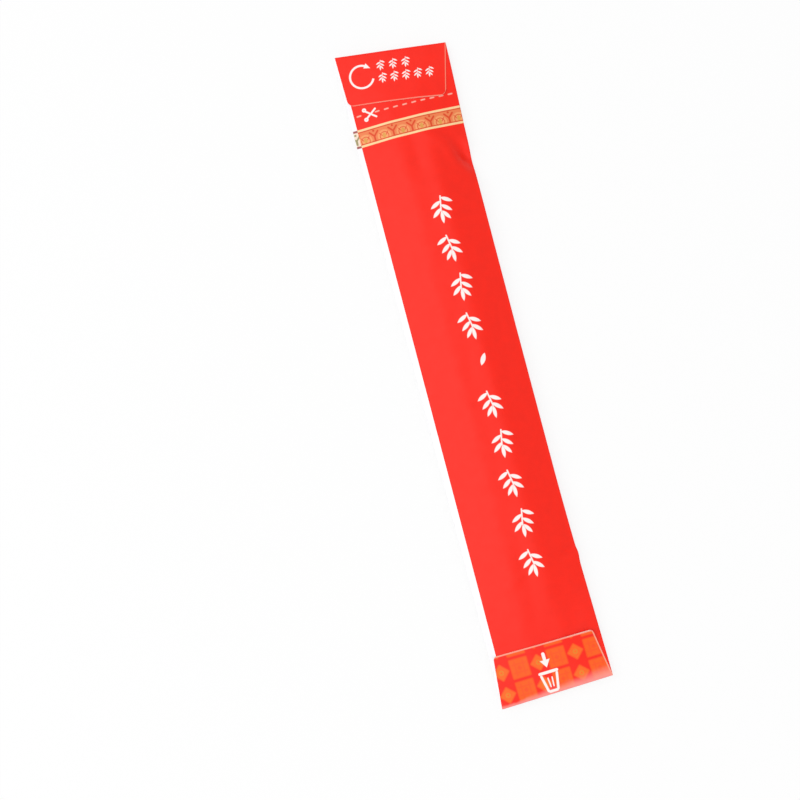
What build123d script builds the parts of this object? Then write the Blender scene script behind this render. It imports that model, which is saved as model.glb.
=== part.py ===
"""A sealed paper packet holding a pair of bamboo chopstick tips, lying on its printed front.

The packet is one sheet of paper, folded to a flat sleeve, with a tongue at each end that is turned
over the back and glued down. Nothing in it can be seen or moved, so it is one filled solid: the
sleeve, stretched over the two tips, and the two glued tongues on top of it.
"""

from build123d import *
import math
import os

# ---------------------------------------------------------------- driving dimensions, in mm
PACKET_LENGTH = 155.75  # fold to fold, along the middle of the packet
TOP_FOLD_PLACE = 77.35  # the opening end's fold, from the middle of the footprint
PACKET_HEIGHT = 5.4  # over the thick ends of the tips
PAPER = 0.12  # one layer of the printed paper, with its glue
EDGE_HALF = 0.17  # half the height of a pressed side fold
FOLD_ROUND = 0.10  # the rounding where the paper turns over an end, less than one layer

TIP_LEFT = -3.0  # the two tips' centre lines, across the packet
TIP_RIGHT = 2.6
TIP_SHOULDER = 2.1  # from a tip's centre line to where the paper leaves the tip
SHOULDER_DROP = 0.1  # the paper's fall to there, as a share of the panel's height over its fold
MIDDLE_SAG = 0.01  # its sag between the tips, as the same share

TOP_FOLD_TURN = 6.0  # each end is folded a little out of square, in degrees
BOTTOM_FOLD_TURN = -2.8
TOP_FOLD_MIDDLE = 0.0  # the middle of each end's fold, across the packet
BOTTOM_FOLD_MIDDLE = 0.15

FLAP_TAPER = 8.0  # each side of an end flap leans in by this much, in degrees
TOP_FLAP_WIDTH = 26.6
TOP_FLAP_DEPTH = 12.65
TOP_FLAP_CORNER = 1.8
BOTTOM_FLAP_WIDTH = 26.7
BOTTOM_FLAP_DEPTH = 11.7
BOTTOM_FLAP_CORNER = 0.8

# The packet's section at even steps along it: the place, its left side, its right side, and the
# heights of the side folds, the upper panel and the lower panel. The packet is drawn in where the
# tips fill it, and the lower panel is drawn a little below the floor there, to be cut flat later.
# The first and last section stand beyond the end folds.
STATIONS = [
    (84.0, -13.40, 13.38, 1.35, 1.44, 1.26),
    (72.0, -13.38, 13.10, 1.50, 2.12, 1.00),
    (60.0, -13.36, 12.58, 1.86, 3.75, 0.36),
    (48.0, -13.34, 12.14, 2.26, 5.02, -0.08),
    (36.0, -13.32, 12.10, 2.38, 5.38, -0.18),
    (24.0, -13.30, 12.11, 2.38, 5.37, -0.18),
    (12.0, -13.27, 12.13, 2.34, 5.32, -0.18),
    (0.0, -13.24, 12.14, 2.28, 5.24, -0.18),
    (-12.0, -13.21, 12.18, 2.22, 5.14, -0.18),
    (-24.0, -13.18, 12.23, 2.16, 5.02, -0.18),
    (-36.0, -13.14, 12.30, 2.08, 4.90, -0.18),
    (-48.0, -13.10, 12.58, 1.98, 4.52, -0.12),
    (-60.0, -13.06, 12.95, 1.74, 3.28, 0.40),
    (-72.0, -13.03, 13.32, 1.52, 2.00, 1.08),
    (-84.0, -13.00, 13.60, 1.42, 1.51, 1.33),
]


def end_plane(middle, place, turn):
    """The plane that an end is folded on, facing out of the packet."""
    side = math.copysign(1.0, place)
    angle = math.radians(turn)
    return Plane(
        origin=(middle, place, 0),
        x_dir=(math.cos(angle), -math.sin(angle), 0),
        z_dir=(side * math.sin(angle), side * math.cos(angle), 0),
    )


def panel_points(left, right, fold, panel):
    """One panel's section, from its left fold over both tips to its right fold."""
    rise = panel - fold
    edge = fold + math.copysign(EDGE_HALF, rise)
    shoulder = panel - SHOULDER_DROP * rise
    return [
        (left, edge),
        (TIP_LEFT - TIP_SHOULDER, shoulder),
        (TIP_LEFT, panel),
        ((TIP_LEFT + TIP_RIGHT) / 2, panel - MIDDLE_SAG * rise),
        (TIP_RIGHT, panel),
        (TIP_RIGHT + TIP_SHOULDER, shoulder),
        (right, edge),
    ]


def end_edges(part, end, lowest):
    """The long edge of a part that lies on an end plane, its lowest one or its highest."""
    long_edges = part.edges().filter_by(lambda edge: edge.length > PACKET_HEIGHT)
    on_plane = long_edges.filter_by(lambda edge: abs(end.to_local_coords(edge.center()).Z) < PAPER)
    return on_plane.sort_by(Axis.Z)[0 if lowest else -1]


def flap_plane(end):
    """A level plane whose y axis runs from an end's fold into the packet."""
    inwards = end.z_dir * -1
    return Plane(origin=end.origin, x_dir=inwards.cross(Vector(0, 0, 1)), z_dir=(0, 0, 1))


def flap_corners(width, depth):
    """The corners of an end flap, the two on its fold first."""
    at_fold = width / 2
    at_end = at_fold - depth * math.tan(math.radians(FLAP_TAPER))
    return [(-at_fold, 0), (at_fold, 0), (at_end, depth), (-at_end, depth)]


# ---------------------------------------------------------------- the folded sleeve, filled
top_end = end_plane(TOP_FOLD_MIDDLE, TOP_FOLD_PLACE, TOP_FOLD_TURN)
bottom_end = end_plane(BOTTOM_FOLD_MIDDLE, TOP_FOLD_PLACE - PACKET_LENGTH, BOTTOM_FOLD_TURN)

with BuildPart() as sleeve:
    for place, left, right, fold, upper, lower in STATIONS:
        with BuildSketch(Plane.XZ.offset(-place)):
            with BuildLine():
                over = Spline(*panel_points(left, right, fold, upper))
                under = Spline(*panel_points(left, right, fold, lower))
                Line(over @ 0, under @ 0)
                Line(over @ 1, under @ 1)
            make_face()
    loft()
    split(bisect_by=top_end, keep=Keep.BOTTOM)
    split(bisect_by=bottom_end, keep=Keep.BOTTOM)
    split(bisect_by=Plane.XY, keep=Keep.TOP)
    for end in (top_end, bottom_end):
        fillet(end_edges(sleeve, end, lowest=True), FOLD_ROUND)

# ---------------------------------------------------------------- the glued end flaps
# A flap follows the panel under it, one layer of paper higher.
one_layer_up = sleeve.part.moved(Location((0, 0, PAPER)))

with BuildPart() as top_flap:
    with BuildSketch(flap_plane(top_end)) as top_outline:
        with BuildLine():
            Polyline(*flap_corners(TOP_FLAP_WIDTH, TOP_FLAP_DEPTH), close=True)
        make_face()
        fillet(top_outline.vertices().group_by(Axis.Y)[-1], TOP_FLAP_CORNER)
    extrude(amount=PACKET_HEIGHT)
    add(one_layer_up, mode=Mode.INTERSECT)
    fillet(end_edges(top_flap, top_end, lowest=False), FOLD_ROUND)

with BuildPart() as bottom_flap:
    with BuildSketch(flap_plane(bottom_end)) as bottom_outline:
        with BuildLine():
            Polyline(*flap_corners(BOTTOM_FLAP_WIDTH, BOTTOM_FLAP_DEPTH), close=True)
        make_face()
        fillet(bottom_outline.vertices().group_by(Axis.Y)[-1], BOTTOM_FLAP_CORNER)
    extrude(amount=PACKET_HEIGHT)
    add(one_layer_up, mode=Mode.INTERSECT)
    fillet(end_edges(bottom_flap, bottom_end, lowest=False), FOLD_ROUND)

# ---------------------------------------------------------------- the packet, one sealed piece
with BuildPart() as packet:
    add(sleeve.part)
    add(top_flap.part)
    add(bottom_flap.part)

os.makedirs("parts", exist_ok=True)
packet.part.label = "chopstick_packet"
export_step(packet.part, "parts/chopstick_packet.step")
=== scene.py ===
"""A sealed paper packet of bamboo chopstick tips, lying on its white printed front.

One sheet of thin coated paper is folded to a flat sleeve round two tips. Its red back lies over a
white strip at the left, and a tongue at each end is turned over the back and glued down.
"""

import bpy
import bmesh
import functools
import math
import numpy as np
from mathutils import Matrix, Vector


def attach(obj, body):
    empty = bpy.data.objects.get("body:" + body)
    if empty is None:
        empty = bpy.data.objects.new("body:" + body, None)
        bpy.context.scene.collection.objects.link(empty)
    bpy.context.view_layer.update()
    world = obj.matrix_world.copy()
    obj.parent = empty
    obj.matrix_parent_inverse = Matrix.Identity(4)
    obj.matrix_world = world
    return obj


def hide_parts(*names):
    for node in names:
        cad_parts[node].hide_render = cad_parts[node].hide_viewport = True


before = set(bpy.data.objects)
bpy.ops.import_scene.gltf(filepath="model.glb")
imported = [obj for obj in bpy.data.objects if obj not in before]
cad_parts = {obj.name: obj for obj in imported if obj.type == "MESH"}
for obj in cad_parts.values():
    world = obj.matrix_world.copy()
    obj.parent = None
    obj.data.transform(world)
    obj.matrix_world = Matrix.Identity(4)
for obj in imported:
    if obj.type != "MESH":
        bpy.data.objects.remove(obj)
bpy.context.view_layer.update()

bl_info = {
    "name": "Chopstick packet",
    "version": (1, 0, 0),
    "blender": (4, 5, 0),
    "location": "View3D > Sidebar > Packet",
    "description": "A sealed, printed paper packet of bamboo chopstick tips",
    "category": "Add Mesh",
}

MM = 0.001

# ---------------------------------------------------------------- the packet's measures, in mm
# The section at places along the packet: its left side, its right side, and the heights of the
# side folds, the upper panel and the lower panel.
STATIONS = np.array([
    (-84.0, -13.00, 13.60, 1.42, 1.51, 1.33),
    (-72.0, -13.03, 13.32, 1.52, 2.00, 1.08),
    (-60.0, -13.06, 12.95, 1.74, 3.28, 0.40),
    (-48.0, -13.10, 12.58, 1.98, 4.52, -0.12),
    (-36.0, -13.14, 12.30, 2.08, 4.90, -0.18),
    (-24.0, -13.18, 12.23, 2.16, 5.02, -0.18),
    (0.0, -13.24, 12.14, 2.28, 5.24, -0.18),
    (36.0, -13.32, 12.10, 2.38, 5.38, -0.18),
    (48.0, -13.34, 12.14, 2.26, 5.02, -0.08),
    (60.0, -13.36, 12.58, 1.86, 3.75, 0.36),
    (72.0, -13.38, 13.10, 1.50, 2.12, 1.00),
    (84.0, -13.40, 13.38, 1.35, 1.44, 1.26),
])
LEFT, RIGHT, FOLD, UPPER, LOWER = range(1, 6)
STATION_ROUNDING = 14.0  # the length over which a bend along the packet is spread
ROUNDING_STEPS = np.linspace(-0.5, 0.5, 9)
# How far up each place across the packet is, from its side folds to the top of the tips.
ACROSS = np.array([
    (-13.25, 0.0),
    (-5.1, 0.90),
    (-4.0, 0.985),
    (-3.0, 1.0),
    (2.6, 1.0),
    (3.6, 0.985),
    (4.7, 0.90),
    (12.3, 0.0),
])
ACROSS_ROUNDING = 1.6
TIPS_MIDDLE = -0.2
TIPS_ENDS = (-51.0, 53.0)  # the tips lie between these places along the packet
# The paper's sag between the tips, as a share of its rise: its depth and half width, and what the
# depth gains just inside the tips' ends, how far inside, and over what half length.
SAG, SAG_HALF_WIDTH = 0.015, 1.7
END_SAG, END_SAG_INSET, END_SAG_HALF_LENGTH = 0.07, 1.0, 5.0
EDGE_HALF = 0.17  # half the height of a pressed side fold
LAYER = 0.12  # the step from one layer of paper to the next
PAPER = 0.10
HAIR = 0.02  # a gap that keeps two faces apart
CUT_EDGE = ((-80.0, -11.45), (60.0, -12.35))  # the back's cut edge, near the left side
STRIP_END = -7.0  # the hidden end of the white strip under the back
STRIP_CROWDING = 1.5  # the strip's columns stand closer together near the left fold, by this power
KINK = (-48.6, 1.6, 0.22)  # a kink in the right fold: its place along, half length and reach
RED_MARGIN = 0.3  # the back's red runs this far past the right fold, on to the front
RIGHT_ARC = 1.1  # the whole way round the right fold, over the way to its last column
LEFT_ARC = 0.6  # the way round the left fold, on the front's print
END_INSET = 0.25  # how far a turned end bulges past the sleeve's last row
END_ARC = 1.6  # half the way round an end's bulge, over its inset
TURN_REACH = 25.0  # the rows turn into line with an end fold over this length
DENT_REACH = 3.5  # a dent fades out of the front over this distance from its side

BACK, FRONT, TOP_TONGUE, BOTTOM_TONGUE, BARE = range(5)  # the sheet's material slots


class Tongue:
    """One end's fold, and the tongue that is turned over it.

    middle and place say where the fold's middle lies, across and along the packet, and turn how far
    the fold is out of square. tapers lean the left and the right side in, all in degrees. end_turn
    skews the free end, and lift raises its left and its right corner.
    """

    def __init__(self, slot, side, middle, place, turn, width, depth, tapers, corner, end_turn, lift):
        angle = math.radians(turn)
        self.slot = slot
        self.side = side
        self.middle = middle
        self.place = place
        self.slope = -math.tan(angle)
        self.origin = np.array((middle, place))
        self.along = np.array((math.cos(angle), -math.sin(angle)))
        self.inward = -side * np.array((math.sin(angle), math.cos(angle)))
        self.width = width
        self.depth = depth
        self.tapers = [math.tan(math.radians(taper)) for taper in tapers]
        self.corner = corner
        self.end_turn = end_turn
        self.lift = lift

    def sideways(self, share, distance):
        """A place across the tongue, for a share from -1 to 1 of its width, with rounded corners."""
        into_corner = np.clip(distance - (self.depth - self.corner), 0, self.corner)
        rounding = self.corner - np.sqrt(self.corner**2 - into_corner**2)
        left, right = (self.width / 2 - distance * taper - rounding for taper in self.tapers)
        return (right - left) / 2 + share * (right + left) / 2


TONGUES = (
    Tongue(
        slot=TOP_TONGUE, side=1, middle=0.0, place=77.35, turn=6.0, width=26.6, depth=12.65,
        tapers=(7.3, 8.0), corner=1.5, end_turn=0.25, lift=(0.02, 0.10),
    ),
    Tongue(
        slot=BOTTOM_TONGUE, side=-1, middle=0.15, place=-78.4, turn=-2.8, width=26.7, depth=11.7,
        tapers=(7.6, 7.2), corner=0.8, end_turn=-0.3, lift=(0.04, 0.95),
    ),
)

# The paper's own slow waves, each the product of two sines: its height, and for each sine its turn
# per mm across, its turn per mm along, and its start.
WAVES = (
    (0.035, (0.50, 0.23, 0.0), (0.31, -0.11, 1.0)),
    (0.020, (-0.37, 0.71, 2.0), (0.83, 0.19, 0.0)),
)
# Dents and creases in the paper: place across and along, turn in degrees, half length, half
# width, height.
DENTS = (
    (11.3, 47.3, -62.0, 4.6, 1.8, -1.25),
    (11.1, 47.9, -62.0, 3.4, 1.35, -0.60),
    (7.9, 49.6, -60.0, 4.5, 1.5, 0.32),
    (11.0, -47.3, 12.0, 2.6, 0.75, -0.55),
    (11.6, -49.0, 10.0, 2.4, 0.8, 0.30),
    (-7.4, 42.5, 20.0, 1.6, 0.5, -0.12),
    (-7.3, 50.2, 35.0, 1.8, 0.5, -0.12),
    (-10.9, 44.6, -50.0, 1.9, 0.5, -0.14),
    (-9.5, 53.0, 60.0, 2.5, 0.7, 0.08),
    (6.5, 52.5, -35.0, 5.0, 1.0, 0.14),
    (-4.0, -52.0, 25.0, 4.5, 1.0, 0.10),
    (7.0, -56.0, -20.0, 5.5, 1.2, -0.12),
    (-9.8, -20.0, 84.0, 9.0, 0.8, -0.06),
    (8.6, 8.0, 88.0, 14.0, 1.0, -0.08),
)

BACK_COLUMNS, FRONT_COLUMNS, STRIP_COLUMNS, FOLD_COLUMNS = 46, 40, 9, 6
SLEEVE_ROWS = 236
TONGUE_ROWS, CORNER_ROWS, WRAP_ROWS = 22, 8, 8
MERGING = 0.001  # points nearer than this are one

PRINT_SPAN = 200.0  # the side of the square that each print's map covers

# ---------------------------------------------------------------- the stage's measures
LOOKED_AT = (-18.31, -4.16, 2.0)  # in mm
FLOOR_HALF = 1.5  # in m
FLOOR_COLOUR = (0.93, 0.93, 0.93, 1.0)
FLOOR_WHITE = 0.82  # the share of plain white that the camera sees in the floor
WHITE = (1.0, 1.0, 1.0, 1.0)
LOW_SHARE = 0.08  # the low lamp's power, as a share of the large one's


# ---------------------------------------------------------------- settings that a user may change
def from_hex(code):
    """An sRGB hex colour as linear values, fully opaque."""
    channels = [int(code[k:k + 2], 16) / 255 for k in (0, 2, 4)]
    linear = [c / 12.92 if c <= 0.04045 else ((c + 0.055) / 1.055) ** 2.4 for c in channels]
    return (*linear, 1.0)


def ink(name, description, code):
    """A colour that a user may change."""
    return bpy.props.FloatVectorProperty(
        name=name, description=description, default=from_hex(code), size=4, subtype="COLOR",
        min=0, max=1,
    )


class PacketInks(bpy.types.PropertyGroup):
    """The colours printed on the packet, and the painted sheen along its bottom fold."""

    red: ink("Red", "The ground of the back and of both tongues", "FF2006")
    # Painted sheen: a pale tone along the bottom fold that stands in for the light the fold reflects.
    painted_sheen: ink("Sheen", "Where the ink is rubbed along a fold", "FFA8A0")
    paper: ink("Paper", "The white coated paper of the front", "FEFCFF")
    bare: ink("Bare paper", "The uncoated inner face and the cut edges", "EFE6E0")
    white: ink("White", "Signs and sprigs left white in the red", "FFF6F2")
    dash: ink("Dashes", "The cut line", "FFBDAA")
    gold: ink("Gold", "The two lines of the band", "FFD8A0")
    band: ink("Band", "The ground between the band's lines", "F28450")
    fan: ink("Fan", "The fans in the band", "FAA468")
    leaf_gold: ink("Leaf gold", "The hearts of the fans", "E2A24E")
    brown: ink("Brown red", "The stems between the fans and the fine inner lines", "E2481F")
    orange: ink("Orange", "The squares on the bottom tongue", "FF6C0C")
    amber: ink("Amber", "The diamonds on the bottom tongue", "FF7A1C")
    cut: ink("Cut edge", "The pale edge where the bottom tongue was cut", "FFA088")
    top_cut: ink("Top cut edge", "The pale edge where the top tongue was cut", "FF846C")
    weave: ink("Weave", "The fine lines in the squares on the bottom tongue", "FF4E18")
    amber_heart: ink("Amber heart", "The rings on the bottom tongue's diamonds", "EA8C26")
    ink_black: ink("Ink", "The brush work on the front", "1A1718")
    grey: ink("Grey", "The scrolls and the cut line on the front", "CFCAD3")
    wine: ink("Wine", "The lines of the front's band", "A85A58")
    cream: ink("Cream", "The ground of the front's band", "FBE3CE")
    pink: ink("Pink", "The fans of the front's band", "F2A49C")
    olive: ink("Olive", "The hearts of the front's fans", "A39A6C")
    sand: ink("Sand", "The squares on the front", "DFC69A")
    ochre: ink("Ochre", "The diamonds on the front", "CFAC5A")


class PacketSettings(bpy.types.PropertyGroup):
    """The paper's own measures."""

    paper_thickness: bpy.props.FloatProperty(
        name="Paper", description="The thickness of the paper", default=PAPER * MM, min=0.00002,
        unit="LENGTH", precision=5,
    )
    dent_strength: bpy.props.FloatProperty(
        name="Dents", description="How deep the dents and creases are", default=1.0, min=0, max=3,
        subtype="FACTOR",
    )


class StageSettings(bpy.types.PropertyGroup):
    """The floor, the lamps and the camera."""

    camera_height: bpy.props.FloatProperty(
        name="Camera", description="The camera's distance from the packet", default=0.45, min=0.1,
        unit="LENGTH",
    )
    camera_tilt: bpy.props.FloatProperty(
        name="Tilt", description="How far the camera leans from looking straight down",
        default=math.radians(5.74), subtype="ANGLE",
    )
    camera_turn: bpy.props.FloatProperty(
        name="Turn", description="The packet's turn in the picture", default=math.radians(14.27),
        subtype="ANGLE",
    )
    focal_length: bpy.props.FloatProperty(
        name="Lens", description="The lens, on a 36 mm sensor", default=87.0, min=10, unit="CAMERA",
    )
    world_light: bpy.props.FloatProperty(
        name="Sky", description="The even light from all round", default=0.64, min=0,
    )
    key_light: bpy.props.FloatProperty(
        name="Key", description="The large soft lamp, in watts", default=4.45, min=0,
    )


# ---------------------------------------------------------------- the shape of the paper
def measure(which, place):
    """One measure of the packet's section at each place along it."""
    spread = ROUNDING_STEPS * STATION_ROUNDING
    found = np.interp(np.asarray(place)[..., None] + spread, STATIONS[:, 0], STATIONS[:, which])
    return found.mean(axis=-1)


def rise(x, y):
    """How far up from the side folds the paper stands at each point, from 0 to 1."""
    left, right = measure(LEFT, y), measure(RIGHT, y)
    across = np.clip((x - left) / (right - left), 0, 1)
    first, last = ACROSS[0, 0], ACROSS[-1, 0]
    spread = ROUNDING_STEPS * ACROSS_ROUNDING
    nominal = first + across * (last - first)
    share = np.interp(nominal[..., None] + spread, ACROSS[:, 0], ACROSS[:, 1]).mean(axis=-1)
    past_tips = np.maximum(y - TIPS_ENDS[1], TIPS_ENDS[0] - y)
    sag = SAG + END_SAG * np.exp(-((past_tips + END_SAG_INSET) / END_SAG_HALF_LENGTH) ** 2)
    return share - sag * np.exp(-(((x - TIPS_MIDDLE) / SAG_HALF_WIDTH) ** 2))


def dents(x, y):
    """The height that the dents, the creases and the paper's own waves add."""
    height = 0.0
    for tallest, *sines in WAVES:
        one, two = (np.sin(across * x + along * y + start) for across, along, start in sines)
        height = height + tallest * one * two
    for centre_x, centre_y, turn, half_length, half_width, rises in DENTS:
        angle = math.radians(turn)
        along = (x - centre_x) * math.cos(angle) + (y - centre_y) * math.sin(angle)
        beside = (y - centre_y) * math.cos(angle) - (x - centre_x) * math.sin(angle)
        height = height + rises * np.exp(-((along / half_length) ** 2) - (beside / half_width) ** 2)
    return height * bpy.context.scene.packet.dent_strength


def upper_surface(x, y):
    """The height of the back's outer face."""
    edge = measure(FOLD, y) + EDGE_HALF
    return edge + rise(x, y) * (measure(UPPER, y) - edge) + dents(x, y)


def lower_surface(x, y):
    """The height of the front's outer face, which lies flat on what is under it."""
    edge = measure(FOLD, y) - EDGE_HALF
    from_side = np.minimum(x - measure(LEFT, y), measure(RIGHT, y) - x)
    near_side = np.clip(1 - from_side / DENT_REACH, 0, 1)
    height = edge + rise(x, y) * (measure(LOWER, y) - edge) + dents(x, y) * near_side
    return np.maximum(height, HAIR)


def ease(share):
    """A share from 0 to 1 that starts and ends gently."""
    return share * share * (3 - 2 * share)


def turned_place(x, middle_place):
    """A row's place along the packet at each x: near an end it runs in line with that end's fold."""
    place = middle_place.copy()
    for tongue in TONGUES:
        fold = tongue.place - tongue.side * END_INSET
        near = np.clip(1 - np.abs(middle_place - fold) / TURN_REACH, 0, 1)
        place += (x - tongue.middle) * tongue.slope * ease(near)
    return place


def half_turn(x, top, bottom, side, towards):
    """A side fold's points across and up, between its top and its bottom, and the way to each one.

    The way is measured round the fold from its top. The points run down the fold or up it.
    """
    angles = np.linspace(0, math.pi, FOLD_COLUMNS + 2)[1:-1]
    if towards == "up":
        angles = angles[::-1]
    radius = (top - bottom) / 2
    heights = (top + bottom) / 2 + radius * np.cos(angles)
    return x + side * radius * np.sin(angles), heights, radius * angles


def sleeve_points():
    """The sleeve's points, row by row, with each point's place across the back's print and across
    the front's print, and its place along both.

    The columns run over the back, round the right fold, along the front, round the left fold and
    over the white strip that the back is glued to.
    """
    ends = [tongue.place - tongue.side * END_INSET for tongue in TONGUES]
    middle_place = np.linspace(ends[1], ends[0], SLEEVE_ROWS)[:, None]
    left, right = measure(LEFT, middle_place) + EDGE_HALF, measure(RIGHT, middle_place) - EDGE_HALF
    kink_place, half_length, reach = KINK
    right = right + reach * np.exp(-(((middle_place - kink_place) / half_length) ** 2))

    cut = np.interp(middle_place, *zip(*CUT_EDGE))
    back_x = cut + (right - cut) * np.linspace(0, 1, BACK_COLUMNS)
    front_x = right + (left - right) * np.linspace(0, 1, FRONT_COLUMNS)
    front_x = np.concatenate((front_x[:, :1], right - RED_MARGIN, front_x[:, 1:]), axis=1)
    strip_x = left + (STRIP_END - left) * np.linspace(0, 1, STRIP_COLUMNS) ** STRIP_CROWDING

    back_y = turned_place(back_x, middle_place + 0 * back_x)
    front_y = turned_place(front_x, middle_place + 0 * front_x)
    strip_y = turned_place(strip_x, middle_place + 0 * strip_x)
    back_z = upper_surface(back_x, back_y)
    front_z = lower_surface(front_x, front_y)
    under = np.clip(strip_x - left, 0, 1)  # the strip is a layer lower from 1 mm inside its fold on
    strip_z = upper_surface(strip_x, strip_y) - LAYER * ease(under)

    right_fold = half_turn(right, back_z[:, -1:], front_z[:, :1], 1, "down")
    left_fold = half_turn(left, strip_z[:, :1], front_z[:, -1:], -1, "up")
    x = np.concatenate((back_x, right_fold[0], front_x, left_fold[0], strip_x), axis=1)
    z = np.concatenate((back_z, right_fold[1], front_z, left_fold[1], strip_z), axis=1)
    right_y, left_y = (edge_y * np.ones(FOLD_COLUMNS) for edge_y in (back_y[:, -1:], front_y[:, -1:]))
    y = np.concatenate((back_y, right_y, front_y, left_y, strip_y), axis=1)

    round_right = right_fold[2][:, -1:] * RIGHT_ARC
    back_across = np.concatenate(
        (back_x, right + right_fold[2], right + round_right + (right - front_x)), axis=1)
    front_across = np.concatenate(
        (-front_x, -left + left_fold[2][:, ::-1], -left + LEFT_ARC + strip_x - left), axis=1)
    across_back = np.zeros_like(x)
    across_back[:, :back_across.shape[1]] = back_across
    across_front = np.zeros_like(x)
    across_front[:, -front_across.shape[1]:] = front_across
    return np.stack((x, y, z), axis=-1), across_back, across_front, y


def tongue_points(tongue, front_row):
    """A tongue's points, row by row from the front's last row, with their places on its print."""
    shares = 1 - 2 * (front_row[:, 0] - front_row[0, 0]) / (front_row[-1, 0] - front_row[0, 0])
    straight = np.linspace(END_INSET, tongue.depth - tongue.corner, TONGUE_ROWS)
    round_corner = np.sin(np.linspace(0, math.pi / 2, CORNER_ROWS)[1:]) * tongue.corner
    distances = np.concatenate((straight, tongue.depth - tongue.corner + round_corner))[:, None]

    lateral = tongue.sideways(shares, distances)
    down = distances / tongue.depth
    inward = distances + tongue.end_turn * shares * down**2
    xy = tongue.origin + lateral[..., None] * tongue.along + inward[..., None] * tongue.inward
    left_lift, right_lift = tongue.lift
    lift = (left_lift + (right_lift - left_lift) * np.clip((shares + 1) / 2, 0, 1) ** 3) * down**4
    z = upper_surface(xy[..., 0], xy[..., 1]) + LAYER + HAIR + lift
    flat = np.concatenate((xy, z[..., None]), axis=-1)

    angles = np.linspace(-math.pi / 2, math.pi / 2, WRAP_ROWS)[:-1, None]
    done = ((1 + np.sin(angles)) / 2)[..., None]
    wrap = front_row * (1 - done) + flat[0] * done
    wrap[..., :2] -= tongue.inward * END_INSET * np.cos(angles)[..., None]
    around = np.broadcast_to(END_INSET * (2 * done[..., 0] - 1) * END_ARC, wrap.shape[:2])
    print_x = np.concatenate((np.broadcast_to(lateral[0], wrap.shape[:2]), lateral))
    print_y = np.concatenate((around, np.broadcast_to(distances, lateral.shape)))
    return np.concatenate((wrap, flat)), print_x, print_y


def lay_grid(bm, points, prints, slot_of_column):
    """Lays a new grid on the points, and maps each face to its own print.

    prints holds each slot's places across and along its print; slot_of_column the slot that each
    column of faces belongs to.
    """
    rows, columns = points.shape[:2]
    print_map = bm.loops.layers.uv["print"]
    made = bmesh.ops.create_grid(bm, x_segments=columns - 1, y_segments=rows - 1, size=0.5)
    cell = {}
    for vertex in made["verts"]:
        column = round((vertex.co.x + 0.5) * (columns - 1))
        row = round((vertex.co.y + 0.5) * (rows - 1))
        cell[vertex] = (row, column)
    for vertex, place in cell.items():
        vertex.co = Vector(points[place]) * MM
    faces = {face for vertex in cell for face in vertex.link_faces}
    for face in faces:
        face.smooth = True
        face.material_index = slot_of_column[min(cell[vertex][1] for vertex in face.verts)]
        across, along = prints[face.material_index]
        for loop in face.loops:
            place = cell[loop.vert]
            loop[print_map].uv = (across[place] / PRINT_SPAN + 0.5, along[place] / PRINT_SPAN + 0.5)
    return list(faces)


def folded_sheet():
    """The whole sheet of paper as one mesh: the sleeve and its two turned tongues."""
    bm = bmesh.new()
    bm.loops.layers.uv.new("print")
    points, across_back, across_front, along = sleeve_points()
    first_front = BACK_COLUMNS + FOLD_COLUMNS  # that column's faces, the margin, are still red
    slots = [BACK if column <= first_front else FRONT for column in range(points.shape[1] - 1)]
    lay_grid(bm, points, {BACK: (across_back, along), FRONT: (across_front, along)}, slots)
    for tongue in TONGUES:
        end_row = -1 if tongue.side > 0 else 0
        front_row = points[end_row, first_front:first_front + FRONT_COLUMNS + 1]
        places, across, down = tongue_points(tongue, front_row)
        slots = [tongue.slot] * (places.shape[1] - 1)
        faces = lay_grid(bm, places, {tongue.slot: (across, down)}, slots)
        if tongue.side < 0:
            bmesh.ops.reverse_faces(bm, faces=faces)
    bmesh.ops.remove_doubles(bm, verts=bm.verts, dist=MERGING * MM)
    mesh = bpy.data.meshes.new("paper_packet")
    bm.to_mesh(mesh)
    bm.free()
    return mesh


# ---------------------------------------------------------------- node helpers
SHARE, UNDER, OVER, MIXED = 0, 6, 7, 2  # a colour Mix node's inputs, and its output
LENGTH = 1  # the output of a Vector Math node that gives a number
PLATE_CORNER = 0.15  # the rounding of a printed plate's corners, in mm
INK_EDGE = 0.06  # half the width over which an ink's edge fades, in mm


def add(tree, kind, inputs=(), output=0, **settings):
    """Adds a node with its settings, sets or links its inputs, and gives one of its outputs."""
    node = tree.nodes.new(kind)
    for name, value in settings.items():
        setattr(node, name, value)
    for key, value in inputs.items() if isinstance(inputs, dict) else enumerate(inputs):
        if isinstance(value, bpy.types.NodeSocket):
            tree.links.new(value, node.inputs[key])
        else:
            node.inputs[key].default_value = value
    return node.outputs[output]


def print_point(tree):
    """Where a point lies on its own print, in mm."""
    place = add(tree, "ShaderNodeUVMap", uv_map="print")
    span = (PRINT_SPAN, PRINT_SPAN, 0)
    return add(tree, "ShaderNodeVectorMath", (place, span, (-PRINT_SPAN / 2, -PRINT_SPAN / 2, 0)),
               operation="MULTIPLY_ADD")


def split(tree, point):
    """A point's place across and its place along."""
    parts = add(tree, "ShaderNodeSeparateXYZ", (point,)).node.outputs
    return parts[0], parts[1]


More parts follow.
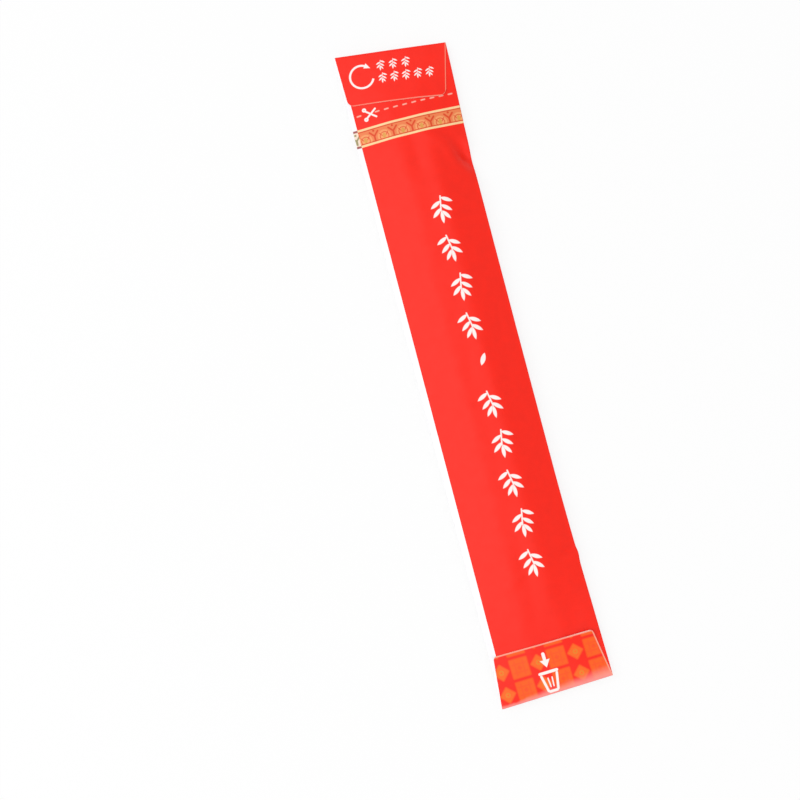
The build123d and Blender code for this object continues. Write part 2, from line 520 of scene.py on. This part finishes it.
def outside(tree, point, kind, x, y, turn, half_length, half_width):
    """How far outside one small printed shape each point is, in mm: below zero inside it.

    A disc is round, a bar has round ends, a plate nearly sharp corners, and a leaf two points. A
    ring's half length is its radius. An arrow head stands on its place, with the whole of its half
    length before it.
    """
    local = add(tree, "ShaderNodeMapping", (point, (x, y, 0), (0, 0, math.radians(turn))),
                vector_type="TEXTURE")
    if kind == "ring":
        from_centre = add(tree, "ShaderNodeVectorMath", (local,), LENGTH, operation="LENGTH")
        from_line = add(tree, "ShaderNodeMath", (from_centre, half_length), operation="SUBTRACT")
        beside = add(tree, "ShaderNodeMath", (from_line,), operation="ABSOLUTE")
        return add(tree, "ShaderNodeMath", (beside, half_width), operation="SUBTRACT")
    corner = add(tree, "ShaderNodeVectorMath", (local,), operation="ABSOLUTE")
    if kind == "arrow":
        forward, beside = split(tree, local)[0], split(tree, corner)[1]
        slope = half_width / half_length
        side = add(tree, "ShaderNodeMath", (forward, slope, beside), operation="MULTIPLY_ADD")
        side = add(tree, "ShaderNodeMath", (side, half_width), operation="SUBTRACT")
        behind = add(tree, "ShaderNodeMath", (forward, -1.0), operation="MULTIPLY")
        return add(tree, "ShaderNodeMath", (side, behind), operation="MAXIMUM")
    if kind == "leaf":
        reach = (half_length**2 + half_width**2) / (2 * half_width)
        moved = add(tree, "ShaderNodeVectorMath", (corner, (0, reach - half_width, 0)), operation="ADD")
    else:
        reach = half_width if kind in ("bar", "disc") else min(PLATE_CORNER, half_width)
        core = (half_length - reach, half_width - reach, 0)
        moved = add(tree, "ShaderNodeVectorMath", (corner, core), operation="SUBTRACT")
        moved = add(tree, "ShaderNodeVectorMath", (moved, (0, 0, 0)), operation="MAXIMUM")
    length = add(tree, "ShaderNodeVectorMath", (moved,), LENGTH, operation="LENGTH")
    return add(tree, "ShaderNodeMath", (length, reach), operation="SUBTRACT")


def outside_all(tree, point, shapes):
    """How far outside the nearest of several shapes each point is."""
    found = [outside(tree, point, *shape) for shape in shapes]
    return functools.reduce(
        lambda one, two: add(tree, "ShaderNodeMath", (one, two), operation="MINIMUM"), found)


def within(tree, distance, limit):
    """A distance that is below zero only where a second one is, too."""
    return add(tree, "ShaderNodeMath", (distance, limit), operation="MAXIMUM")


def clear_of(tree, distance, shape):
    """A distance that is below zero only where the distance to a second shape is above zero."""
    return within(tree, distance, add(tree, "ShaderNodeMath", (shape, -1.0), operation="MULTIPLY"))


def beside_line(tree, value, centre, half_width):
    """How far outside a straight stripe each point is."""
    away = add(tree, "ShaderNodeMath", (value, centre), operation="SUBTRACT")
    away = add(tree, "ShaderNodeMath", (away,), operation="ABSOLUTE")
    return add(tree, "ShaderNodeMath", (away, half_width), operation="SUBTRACT")


def repeated(tree, value, start, pitch):
    """A place measured from the nearest of the centres that repeat at a pitch."""
    moved = add(tree, "ShaderNodeMath", (value, start), operation="SUBTRACT")
    return add(tree, "ShaderNodeMath", (moved, pitch / 2, -pitch / 2), operation="WRAP")


def lay_ink(tree, under, colour, distance, edge=INK_EDGE):
    """The print with one more ink on it, where the distance to its shapes is below zero."""
    cover = add(tree, "ShaderNodeMapRange", (distance, -edge, edge, 1.0, 0.0))
    return add(tree, "ShaderNodeMix", {SHARE: cover, UNDER: under, OVER: colour}, MIXED,
               data_type="RGBA")


def thin_paper(name, colour_for, roughness):
    """Thin white paper, coloured by colour_for(tree, point, inks).

    Its outer face is clay coated, calendered and offset printed: a soft even gloss, fine fibres
    under the coat, and ink that lies a little unevenly. Its inner face is bare and rougher.
    """
    material = bpy.data.materials.new(name)
    material.use_nodes = True
    tree = material.node_tree
    shader = tree.nodes["Principled BSDF"]
    colour = colour_for(tree, print_point(tree), bpy.context.scene.packet_inks)
    solid = add(tree, "ShaderNodeTexCoord", output="Object")
    # The ink's mottle, in patches of about 2 mm.
    mottle = add(tree, "ShaderNodeTexNoise", {"Vector": solid, "Scale": 500.0, "Detail": 3.0})
    share = add(tree, "ShaderNodeMapRange", (mottle, 0.35, 0.75, 0.0, 0.05))
    uneven = add(tree, "ShaderNodeMix", {SHARE: share, UNDER: colour, OVER: (0, 0, 0, 1)}, MIXED,
                 data_type="RGBA")
    tree.links.new(uneven, shader.inputs["Base Color"])
    # Fibres are finer than 0.05 mm; they are drawn at 0.3 mm so that they show.
    fibres = add(tree, "ShaderNodeTexNoise", {"Vector": solid, "Scale": 3300.0, "Detail": 4.0})
    # Thin paper never lies quite flat: soft waves of about 7 mm.
    waves = add(tree, "ShaderNodeTexNoise", {"Vector": solid, "Scale": 140.0, "Detail": 2.5})
    soft = add(tree, "ShaderNodeBump", {"Strength": 0.35, "Distance": 0.0004, "Height": waves})
    rough = add(tree, "ShaderNodeBump",
                {"Strength": 0.22, "Distance": 0.00004, "Height": fibres, "Normal": soft})
    tree.links.new(rough, shader.inputs["Normal"])
    gloss = add(tree, "ShaderNodeMapRange", (mottle, 0.3, 0.7, roughness - 0.03, roughness + 0.05))
    tree.links.new(gloss, shader.inputs["Roughness"])
    shader.inputs["Specular IOR Level"].default_value = 0.32
    return material


# ---------------------------------------------------------------- the prints
BAND_LINES = (59.95, 56.10)  # the band's two lines, along the packet
BAND_MIDDLE = sum(BAND_LINES) / 2
BAND_LINE_HALF = 0.26
INNER_LINE, INNER_LINE_HALF = 0.42, 0.12  # how far inside each line a fine line runs; half its width
BAND_REPEAT = (-1.94, 4.53)  # the middle of one of the band's fans, across the packet, and their pitch
CUT_LINE = 63.4
BACK_DASHES = (-0.02, 2.22)  # the middle of one of the cut line's dashes, and their pitch
FRONT_DASHES = (0.8, 2.17)
DASHES_END = 12.0  # the back's dashes run from minus this place to this place
DASH_HALF = 0.55
SCISSORS_PLACE = (-8.6, CUT_LINE)
SCISSORS_CLEAR = 1.3  # the dashes keep this far from the scissors' middle
FRONT_HALF = 13.0  # the front's small signs end here; its grounds run on round the folds
SPRIGS = (2.0, 36.8, 9.42)  # the column of sprigs: its place across, its first one, its pitch
SPRIG_COUNT = 10
PAUSE = 4  # this sprig of the column, counted from 0, is left out for one lone leaf
# The top tongue's rows of small sprigs: where the first and the last one stand across, and the row
# along. SMALL_PITCH is about the distance between two of them.
SMALL_SPRIGS = ((-2.9, 3.1, 3.35), (-2.8, 8.4, 6.5))
SMALL_PITCH = 2.9
SMALL_SCALE = 0.39
TURN_SIGN = (-7.6, 5.70)  # the middle of the turning arrow on the top tongue
OPENING_TURN, OPENING_SLOPE = -17.0, 0.67  # its opening is a wedge: its turn in degrees, its slope
BIN_PLACE = (-0.7, -0.25)
# A border of squares and diamonds: the middle of its first square, the distance from a square to
# the next diamond, and the distance between its rows.
TONGUE_BORDER = ((-6.65, 2.70), 4.42, 5.15)
FRONT_BORDER = ((-9.3, -70.6), 4.5, 5.0)
FRONT_BORDER_TOP = -65.0
# The painted sheen along the bottom fold, a pale tone in place of the light that the fold reflects:
SHEEN_ACROSS = (-9.0, 12.0)  # between these places the painted sheen along the bottom fold widens,
SHEEN_REACH = (0.2, 2.4)  # from this reach over the bottom fold to this one
SHEEN_PATCHES = 1.6  # what its patches add to that
SHEEN_SHARE = 0.75  # how pale it is on the fold itself
CORNER_SHARE = 0.55  # a cut edge crosses a rounded corner this share of its radius inside it

# A spray of bamboo in its own square of about 6 mm: a twig with leaves that droop on both sides.
SPRIG = (
    ("bar", 0.15, 1.1, 79.6, 1.93, 0.16),
    ("leaf", 1.70, 1.82, -28.0, 1.5, 0.45),
    ("leaf", -1.03, 1.02, 208.0, 1.5, 0.45),
    ("leaf", 1.24, -0.09, -38.0, 1.5, 0.45),
    ("leaf", -1.16, -0.93, 220.0, 1.5, 0.45),
    ("leaf", 0.85, -1.75, -54.0, 1.4, 0.42),
    ("leaf", -0.15, -2.15, -92.0, 1.5, 0.42),
)
SCISSORS = (
    ("bar", 0.35, -0.13, 38.0, 1.75, 0.21),
    ("bar", 0.30, -0.20, -40.0, 1.7, 0.21),
    ("ring", -1.02, 1.08, 0.0, 0.30, 0.20),
    ("ring", -1.02, -1.28, 0.0, 0.30, 0.20),
)
# A bin, from its bottom up, and an arrow that points down into it.
BIN = (
    ("bar", -1.5, 2.95, 101.0, 2.1, 0.28),
    ("bar", 1.5, 2.95, 79.0, 2.1, 0.28),
    ("bar", 0.0, 0.95, 0.0, 1.15, 0.30),
    ("bar", -0.42, 3.0, 94.0, 1.15, 0.15),
    ("bar", 0.42, 3.0, 86.0, 1.15, 0.15),
    ("bar", 0.0, 5.35, 0.0, 2.35, 0.33),
    ("bar", 0.0, 9.0, 90.0, 1.0, 0.38),
    ("arrow", 0.0, 8.2, -90.0, 1.75, 1.15),
)
# Grey scrolls at the front's top end.
SCROLLS = (
    ("ring", 9.3, 72.0, 0.0, 1.9, 0.30),
    ("ring", 9.0, 71.9, 0.0, 0.9, 0.22),
    ("bar", 4.2, 70.6, 12.0, 3.4, 0.24),
    ("ring", -3.0, 70.0, 0.0, 1.4, 0.20),
    ("ring", -3.0, 70.0, 0.0, 0.6, 0.18),
    ("bar", -7.0, 69.4, 6.0, 3.0, 0.16),
    ("ring", 2.6, 74.0, 0.0, 0.9, 0.16),
    ("ring", -2.4, 74.0, 0.0, 0.9, 0.16),
    ("leaf", 5.2, 74.2, 20.0, 1.6, 0.35),
    ("leaf", -5.2, 74.2, -20.0, 1.6, 0.35),
    ("bar", 8.6, 74.9, 6.0, 1.9, 0.13),
    ("bar", -8.6, 74.9, -6.0, 1.9, 0.13),
    ("disc", 0.0, 73.3, 0.0, 0.4, 0.4),
)
# The front's bamboo in brush and ink: a stalk in four lengths with three side twigs, and its leaves.
CANES = (
    ("bar", 2.9, 33.0, 84.0, 7.2, 0.85),
    ("bar", 1.6, 17.9, 86.0, 7.2, 0.90),
    ("bar", 0.7, 2.7, 87.0, 7.2, 0.95),
    ("bar", 0.1, -12.6, 88.0, 7.3, 1.00),
    ("bar", 4.6, 11.9, 26.0, 3.9, 0.22),
    ("bar", -2.2, 27.3, 158.0, 4.6, 0.22),
    ("bar", 3.5, -21.0, -62.0, 5.9, 0.20),
)
CANE_LEAVES = (
    ("leaf", -7.4, 29.0, 212.0, 3.4, 0.75),
    ("leaf", -6.9, 25.6, 240.0, 3.6, 0.80),
    ("leaf", -4.2, 30.4, 128.0, 3.2, 0.70),
    ("leaf", 9.8, 14.6, -20.0, 3.2, 0.75),
    ("leaf", 8.6, 9.4, -58.0, 3.6, 0.80),
    ("leaf", 6.6, 6.2, -86.0, 3.2, 0.70),
    ("leaf", 5.3, 43.2, 30.0, 3.0, 0.70),
    ("leaf", 1.4, 44.4, 110.0, 3.0, 0.70),
    ("leaf", 6.9, 38.6, -24.0, 3.2, 0.70),
    ("leaf", 8.6, -28.0, -60.0, 3.0, 0.60),
    ("leaf", 5.8, -30.2, -84.0, 3.0, 0.60),
    ("leaf", 9.9, -24.6, -28.0, 2.8, 0.60),
)


def combine(tree, across, along):
    """A point from its place across and its place along."""
    return add(tree, "ShaderNodeCombineXYZ", (across, along))


def band_print(tree, colour, point, lines, ground, fan, heart, stem, inner_line):
    """The ornamental band: two lines, and fans with forked stems between them."""
    across, along = split(tree, point)
    middle, pitch = BAND_REPEAT
    cell = combine(tree, repeated(tree, across, middle, pitch), along)
    half = (BAND_LINES[0] - BAND_LINES[1]) / 2
    field = beside_line(tree, along, BAND_MIDDLE, half)
    colour = lay_ink(tree, colour, ground, field)
    low = BAND_LINES[1] + 0.5
    fans = outside_all(tree, cell, (("disc", 0.0, low + 0.5, 0.0, 1.58, 1.58),))
    colour = lay_ink(tree, colour, fan, within(tree, fans, field))
    veins = outside_all(tree, cell, (
        ("ring", 0.0, low + 0.5, 0.0, 1.02, 0.09),
        ("bar", -0.75, low + 1.1, 125.0, 0.55, 0.09),
        ("bar", 0.75, low + 1.1, 55.0, 0.55, 0.09),
    ))
    colour = lay_ink(tree, colour, stem, within(tree, veins, fans))
    colour = lay_ink(tree, colour, heart, outside_all(tree, cell, (
        ("leaf", 0.0, low + 0.65, 90.0, 0.75, 0.40),)))
    between = combine(tree, repeated(tree, across, middle + pitch / 2, pitch), along)
    fork = outside_all(tree, between, (
        ("bar", 0.0, low + 0.45, 90.0, 0.85, 0.20),
        ("bar", -0.55, low + 1.75, 132.0, 0.85, 0.20),
        ("bar", 0.55, low + 1.75, 48.0, 0.85, 0.20),
        ("disc", 0.0, low + 2.5, 0.0, 0.26, 0.26),
    ))
    colour = lay_ink(tree, colour, stem, within(tree, fork, field))
    for place, side in zip(BAND_LINES, (-1, 1)):
        inner = beside_line(tree, along, place + side * INNER_LINE, INNER_LINE_HALF)
        colour = lay_ink(tree, colour, inner_line, inner)
        colour = lay_ink(tree, colour, lines, beside_line(tree, along, place, BAND_LINE_HALF))
    return colour


def cut_line(tree, colour, point, inks):
    """The back's dashed cut line, with its scissors."""
    across, along = split(tree, point)
    cell = combine(tree, repeated(tree, across, *BACK_DASHES), along)
    dashes = outside_all(tree, cell, (("bar", 0.0, CUT_LINE, 3.0, DASH_HALF, 0.15),))
    dashes = within(tree, dashes, beside_line(tree, across, 0.0, DASHES_END))
    scissors = (("plate", *SCISSORS_PLACE, 0.0, SCISSORS_CLEAR, SCISSORS_CLEAR),)
    dashes = clear_of(tree, dashes, outside_all(tree, point, scissors))
    colour = lay_ink(tree, colour, inks.dash, dashes, 0.12)
    moved = add(tree, "ShaderNodeMapping", (point, (*SCISSORS_PLACE, 0)), vector_type="TEXTURE")
    return lay_ink(tree, colour, inks.white, outside_all(tree, moved, SCISSORS))


def sprig_column(tree, point):
    """How far outside the back's column of sprigs each point is: every second one is mirrored."""
    across, along = split(tree, point)
    column, first, pitch = SPRIGS
    step = add(tree, "ShaderNodeMath", (along, first + pitch / 2), operation="SUBTRACT")
    step = add(tree, "ShaderNodeMath", (step, pitch), operation="DIVIDE")
    step = add(tree, "ShaderNodeMath", (step,), operation="FLOOR")
    odd = add(tree, "ShaderNodeMath", (step, 1.0), operation="PINGPONG")
    hand = add(tree, "ShaderNodeMath", (odd, 2.0, -1.0), operation="MULTIPLY_ADD")
    off = add(tree, "ShaderNodeMath", (across, column), operation="SUBTRACT")
    off = add(tree, "ShaderNodeMath", (off, hand), operation="MULTIPLY")
    sprigs = outside_all(tree, combine(tree, off, repeated(tree, along, first, pitch)), SPRIG)
    last, pause = first - (SPRIG_COUNT - 1) * pitch, first - PAUSE * pitch
    stretch = beside_line(tree, along, (first + last) / 2, (first - last + pitch) / 2)
    left_out = beside_line(tree, along, pause, pitch / 2)
    sprigs = clear_of(tree, within(tree, sprigs, stretch), left_out)
    lone_leaf = outside_all(tree, point, (("leaf", column + 0.6, pause + 0.9, 62.0, 1.5, 0.55),))
    return add(tree, "ShaderNodeMath", (sprigs, lone_leaf), operation="MINIMUM")


def back_print(tree, point, inks):
    """The red back: the gold band, the cut line with its scissors, and a column of white sprigs."""
    colour = band_print(tree, inks.red, point, inks.gold, inks.band, inks.fan, inks.leaf_gold,
                        inks.brown, inks.brown)
    colour = cut_line(tree, colour, point, inks)
    return lay_ink(tree, colour, inks.white, sprig_column(tree, point), 0.08)


def cut_margin(tree, point, tongue):
    """How far inside the tongue's end and its right side each point is."""
    across, along = split(tree, point)
    from_end = add(tree, "ShaderNodeMath", (tongue.depth, along), operation="SUBTRACT")
    side = add(tree, "ShaderNodeMath", (along, -tongue.tapers[1], tongue.width / 2),
               operation="MULTIPLY_ADD")
    from_side = add(tree, "ShaderNodeMath", (side, across), operation="SUBTRACT")
    near = add(tree, "ShaderNodeMath", (from_end, from_side), operation="MINIMUM")
    corner = add(tree, "ShaderNodeMath", (from_end, from_side), operation="ADD")
    corner = add(tree, "ShaderNodeMath", (corner, tongue.corner * CORNER_SHARE), operation="SUBTRACT")
    return add(tree, "ShaderNodeMath", (near, corner), operation="MINIMUM")


def edge_line(tree, colour, point, tongue, cut, width):
    """The tongue's pale cut edge along its end and its right side."""
    near = add(tree, "ShaderNodeMath", (cut_margin(tree, point, tongue), width), operation="SUBTRACT")
    return lay_ink(tree, colour, cut, near, 0.05)


def turning_arrow(tree, point):
    """How far outside the turning arrow each point is: a ring, open on one side, with a head."""
    right, down = TURN_SIGN
    ring = outside_all(tree, point, (("ring", right, down, 0.0, 2.78, 0.24),))
    turn = (0, 0, math.radians(OPENING_TURN))
    opening = add(tree, "ShaderNodeMapping", (point, (right, down, 0), turn), vector_type="TEXTURE")
    forward, beside = split(tree, opening)
    beside = add(tree, "ShaderNodeMath", (beside,), operation="ABSOLUTE")
    gap = add(tree, "ShaderNodeMath", (forward, OPENING_SLOPE), operation="MULTIPLY")
    gap = add(tree, "ShaderNodeMath", (gap, beside), operation="SUBTRACT")
    head = outside_all(tree, point, (("arrow", right + 1.0, down - 2.62, 30.0, 1.45, 0.66),))
    return add(tree, "ShaderNodeMath", (within(tree, ring, gap), head), operation="MINIMUM")


def top_tongue_print(tree, point, inks):
    """The red top tongue: a turning arrow, and two rows of small sprigs."""
    colour = lay_ink(tree, inks.red, inks.white, turning_arrow(tree, point))
    across, along = split(tree, point)
    for first, last, row in SMALL_SPRIGS:
        pitch = (last - first) / round((last - first) / SMALL_PITCH)
        cell = combine(tree, repeated(tree, across, first, pitch), along)
        upright = (SMALL_SCALE, -SMALL_SCALE, 1)
        small = add(tree, "ShaderNodeMapping", (cell, (0, row, 0), (0, 0, 0), upright),
                    vector_type="TEXTURE")
        stretch = beside_line(tree, across, (first + last) / 2, (last - first + pitch) / 2)
        sprigs = within(tree, outside_all(tree, small, SPRIG), stretch)
        colour = lay_ink(tree, colour, inks.white, sprigs, 0.15)
    return edge_line(tree, colour, point, TONGUES[0], inks.top_cut, 0.22)


def checker(tree, colour, point, border, square, diamond, heart):
    """Columns of woven squares between columns of diamonds, each diamond with a small heart."""
    start, pitch, rows = border
    across, along = split(tree, point)
    row = repeated(tree, along, start[1], rows)
    squares = combine(tree, repeated(tree, across, start[0], pitch * 2), row)
    diamonds = combine(tree, repeated(tree, across, start[0] + pitch, pitch * 2), row)
    colour = lay_ink(tree, colour, square[0], outside_all(tree, squares, (
        ("plate", 0.0, 0.0, 0.0, 2.05, 2.12),)), 0.32)
    weave = outside_all(tree, squares, (
        ("plate", 0.0, 0.95, 0.0, 1.6, 0.09),
        ("plate", 0.0, -0.95, 0.0, 1.6, 0.09),
        ("plate", 0.95, 0.0, 90.0, 1.6, 0.09),
        ("plate", -0.95, 0.0, 90.0, 1.6, 0.09),
        ("plate", 0.0, 0.0, 45.0, 0.42, 0.42),
    ))
    colour = lay_ink(tree, colour, square[1], weave, 0.22)
    colour = lay_ink(tree, colour, diamond, outside_all(tree, diamonds, (
        ("plate", 0.0, 0.0, 45.0, 1.28, 1.28),)), 0.32)
    return lay_ink(tree, colour, heart, outside_all(tree, diamonds, (
        ("ring", 0.0, 0.0, 0.0, 0.42, 0.12),)), 0.12)


def painted_fold_sheen(tree, colour, point, inks):
    """A painted sheen along the bottom fold: pale, wider to the right, in uneven patches."""
    across, along = split(tree, point)
    patches = add(tree, "ShaderNodeTexNoise", {"Vector": point, "Scale": 0.35, "Detail": 2.0})
    reach = add(tree, "ShaderNodeMapRange", (across, *SHEEN_ACROSS, *SHEEN_REACH))
    reach = add(tree, "ShaderNodeMath", (patches, SHEEN_PATCHES, reach), operation="MULTIPLY_ADD")
    share = add(tree, "ShaderNodeMath", (along, reach), operation="DIVIDE")
    share = add(tree, "ShaderNodeMapRange", (share, 0.0, 1.0, SHEEN_SHARE, 0.0),
                interpolation_type="SMOOTHSTEP")
    return add(tree, "ShaderNodeMix", {SHARE: share, UNDER: colour, OVER: inks.painted_sheen}, MIXED,
               data_type="RGBA")


def bottom_tongue_print(tree, point, inks):
    """The bottom tongue: orange squares and diamonds on red, with a white bin, and a painted sheen
    along its fold.
    """
    colour = checker(tree, inks.red, point, TONGUE_BORDER, (inks.orange, inks.weave), inks.amber,
                     inks.amber_heart)
    # A painted sheen along the bottom fold.
    colour = painted_fold_sheen(tree, colour, point, inks)
    moved = add(tree, "ShaderNodeMapping", (point, (*BIN_PLACE, 0)), vector_type="TEXTURE")
    colour = lay_ink(tree, colour, inks.white, outside_all(tree, moved, BIN))
    return edge_line(tree, colour, point, TONGUES[1], inks.cut, 0.30)


def front_print(tree, point, inks):
    """The white front: grey scrolls, the cut line, the band, ink bamboo, and a gold border."""
    across, along = split(tree, point)
    past_side = add(tree, "ShaderNodeMath", (across, FRONT_HALF), operation="SUBTRACT")
    scrolls = within(tree, outside_all(tree, point, SCROLLS), past_side)
    colour = lay_ink(tree, inks.paper, inks.grey, scrolls, 0.15)
    cell = combine(tree, repeated(tree, across, *FRONT_DASHES), along)
    dashes = outside_all(tree, cell, (("bar", 0.0, CUT_LINE, 0.0, DASH_HALF, 0.10),))
    colour = lay_ink(tree, colour, inks.grey, within(tree, dashes, past_side), 0.10)
    colour = band_print(tree, colour, point, inks.wine, inks.cream, inks.pink, inks.olive,
                        inks.olive, inks.cream)
    colour = lay_ink(tree, colour, inks.ink_black, outside_all(tree, point, CANES), 0.25)
    colour = lay_ink(tree, colour, inks.ink_black, outside_all(tree, point, CANE_LEAVES), 0.15)
    low = add(tree, "ShaderNodeMath", (along, FRONT_BORDER_TOP), operation="SUBTRACT")
    border = checker(tree, inks.paper, point, FRONT_BORDER, (inks.sand, inks.paper), inks.ochre,
                     inks.orange)
    return lay_ink(tree, colour, border, within(tree, low, past_side))


def bare_print(tree, point, inks):
    """The uncoated inner face, which has one colour all over."""
    return inks.bare


# ---------------------------------------------------------------- operators
class OBJECT_OT_paper_packet(bpy.types.Operator):
    """Fold the printed sheet of paper round its two tips"""

    bl_idname = "object.paper_packet"
    bl_label = "Paper packet"

    def execute(self, context):
        sheet = bpy.data.objects.new("paper_packet", folded_sheet())
        context.scene.collection.objects.link(sheet)
        for name, colour_for, roughness in (
            ("coated_paper_red_back", back_print, 0.42),
            ("coated_paper_white_front", front_print, 0.45),
            ("coated_paper_top_tongue", top_tongue_print, 0.42),
            ("coated_paper_bottom_tongue", bottom_tongue_print, 0.40),
            ("uncoated_paper_inside", bare_print, 0.85),
        ):
            sheet.data.materials.append(thin_paper(name, colour_for, roughness))
        wall = sheet.modifiers.new("paper", "SOLIDIFY")
        wall.thickness = context.scene.packet.paper_thickness
        wall.offset = -1.0
        wall.material_offset = BARE
        wall.material_offset_rim = BARE
        evaluated = sheet.evaluated_get(context.evaluated_depsgraph_get())
        solid = bpy.data.meshes.new_from_object(evaluated)
        sheet.modifiers.clear()
        sheet.data = solid
        solid.set_sharp_from_angle(angle=math.radians(45))
        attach(sheet, "root")
        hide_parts("chopstick_packet")
        return {"FINISHED"}


def lay_floor(scene):
    """A wide white floor that the camera sees as white, with the packet's faint shadow."""
    bm = bmesh.new()
    bmesh.ops.create_grid(bm, x_segments=2, y_segments=2, size=FLOOR_HALF)
    bmesh.ops.translate(bm, verts=bm.verts, vec=(0, 0, -HAIR * MM))
    mesh = bpy.data.meshes.new("floor")
    bm.to_mesh(mesh)
    bm.free()
    floor = bpy.data.objects.new("floor", mesh)
    scene.collection.objects.link(floor)
    material = bpy.data.materials.new("white_table")
    material.use_nodes = True
    tree = material.node_tree
    tree.nodes.clear()
    matt = add(tree, "ShaderNodeBsdfDiffuse", (FLOOR_COLOUR, 0.0))
    white = add(tree, "ShaderNodeEmission", (WHITE, 1.0))
    rays = add(tree, "ShaderNodeLightPath").node.outputs
    seen = add(tree, "ShaderNodeMath", (rays["Is Camera Ray"], FLOOR_WHITE), operation="MULTIPLY")
    surface = add(tree, "ShaderNodeMixShader", (seen, matt, white))
    tree.links.new(surface, tree.nodes.new("ShaderNodeOutputMaterial").inputs["Surface"])
    mesh.materials.append(material)


def light_scene(scene, stage):
    """An even sky, a large soft lamp from the upper left, and a low one past the bottom end."""
    world = bpy.data.worlds.new("even_sky")
    world.use_nodes = True
    tree = world.node_tree
    tree.nodes.clear()
    rays = add(tree, "ShaderNodeLightPath").node.outputs
    sky = add(tree, "ShaderNodeBackground", (WHITE, stage.world_light))
    white = add(tree, "ShaderNodeBackground", (WHITE, 1.0))
    surface = add(tree, "ShaderNodeMixShader", (rays["Is Camera Ray"], sky, white))
    tree.links.new(surface, tree.nodes.new("ShaderNodeOutputWorld").inputs["Surface"])
    scene.world = world
    for name, place, size, power in (
        ("key_lamp", (-0.40, 0.06, 0.72), 1.30, stage.key_light),
        ("low_lamp", (0.10, -0.62, 0.30), 0.35, stage.key_light * LOW_SHARE),
    ):
        lamp = bpy.data.lights.new(name, "AREA")
        lamp.shape = "DISK"
        lamp.size = size
        lamp.energy = power
        holder = bpy.data.objects.new(name, lamp)
        away = Vector(place)
        turned = away.to_track_quat("Z", "Y").to_matrix().to_4x4()
        holder.matrix_world = Matrix.Translation(away) @ turned
        scene.collection.objects.link(holder)


def place_camera(scene, stage):
    """A camera above the packet, leaning a little towards its bottom end."""
    turn, tilt = stage.camera_turn, stage.camera_tilt
    up = Vector((math.sin(turn), math.cos(turn), 0))
    right = Vector((math.cos(turn), -math.sin(turn), 0))
    back = Vector((0, 0, 1)) * math.cos(tilt) - up * math.sin(tilt)
    lens = bpy.data.cameras.new("camera")
    lens.lens = stage.focal_length
    lens.sensor_width = 36.0
    lens.clip_start = 0.01
    camera = bpy.data.objects.new("camera", lens)
    axes = Matrix((right, back.cross(right), back)).transposed().to_4x4()
    place = Vector(LOOKED_AT) * MM + back * stage.camera_height
    camera.matrix_world = Matrix.Translation(place) @ axes
    scene.collection.objects.link(camera)
    scene.camera = camera


class OBJECT_OT_packet_stage(bpy.types.Operator):
    """Lay a white floor, light it softly and look down on the packet"""

    bl_idname = "object.packet_stage"
    bl_label = "Stage"

    def execute(self, context):
        scene, stage = context.scene, context.scene.packet_stage
        lay_floor(scene)
        light_scene(scene, stage)
        place_camera(scene, stage)
        scene.view_settings.view_transform = "Standard"
        return {"FINISHED"}


class VIEW3D_PT_packet(bpy.types.Panel):
    """The packet's panel in the sidebar"""

    bl_label = "Chopstick packet"
    bl_idname = "VIEW3D_PT_packet"
    bl_space_type = "VIEW_3D"
    bl_region_type = "UI"
    bl_category = "Packet"

    def draw(self, context):
        for group in (context.scene.packet, context.scene.packet_inks, context.scene.packet_stage):
            box = self.layout.box()
            for name in group.__annotations__:
                box.prop(group, name)
        self.layout.operator(OBJECT_OT_paper_packet.bl_idname)
        self.layout.operator(OBJECT_OT_packet_stage.bl_idname)


CLASSES = (
    PacketInks, PacketSettings, StageSettings, OBJECT_OT_paper_packet, OBJECT_OT_packet_stage,
    VIEW3D_PT_packet,
)
GROUPS = {"packet": PacketSettings, "packet_inks": PacketInks, "packet_stage": StageSettings}


def register():
    for cls in CLASSES:
        bpy.utils.register_class(cls)
    for name, group in GROUPS.items():
        setattr(bpy.types.Scene, name, bpy.props.PointerProperty(type=group))


def unregister():
    for name in GROUPS:
        delattr(bpy.types.Scene, name)
    for cls in reversed(CLASSES):
        bpy.utils.unregister_class(cls)


def main():
    register()
    bpy.ops.object.paper_packet()
    bpy.ops.object.packet_stage()


if __name__ == "__main__":
    main()
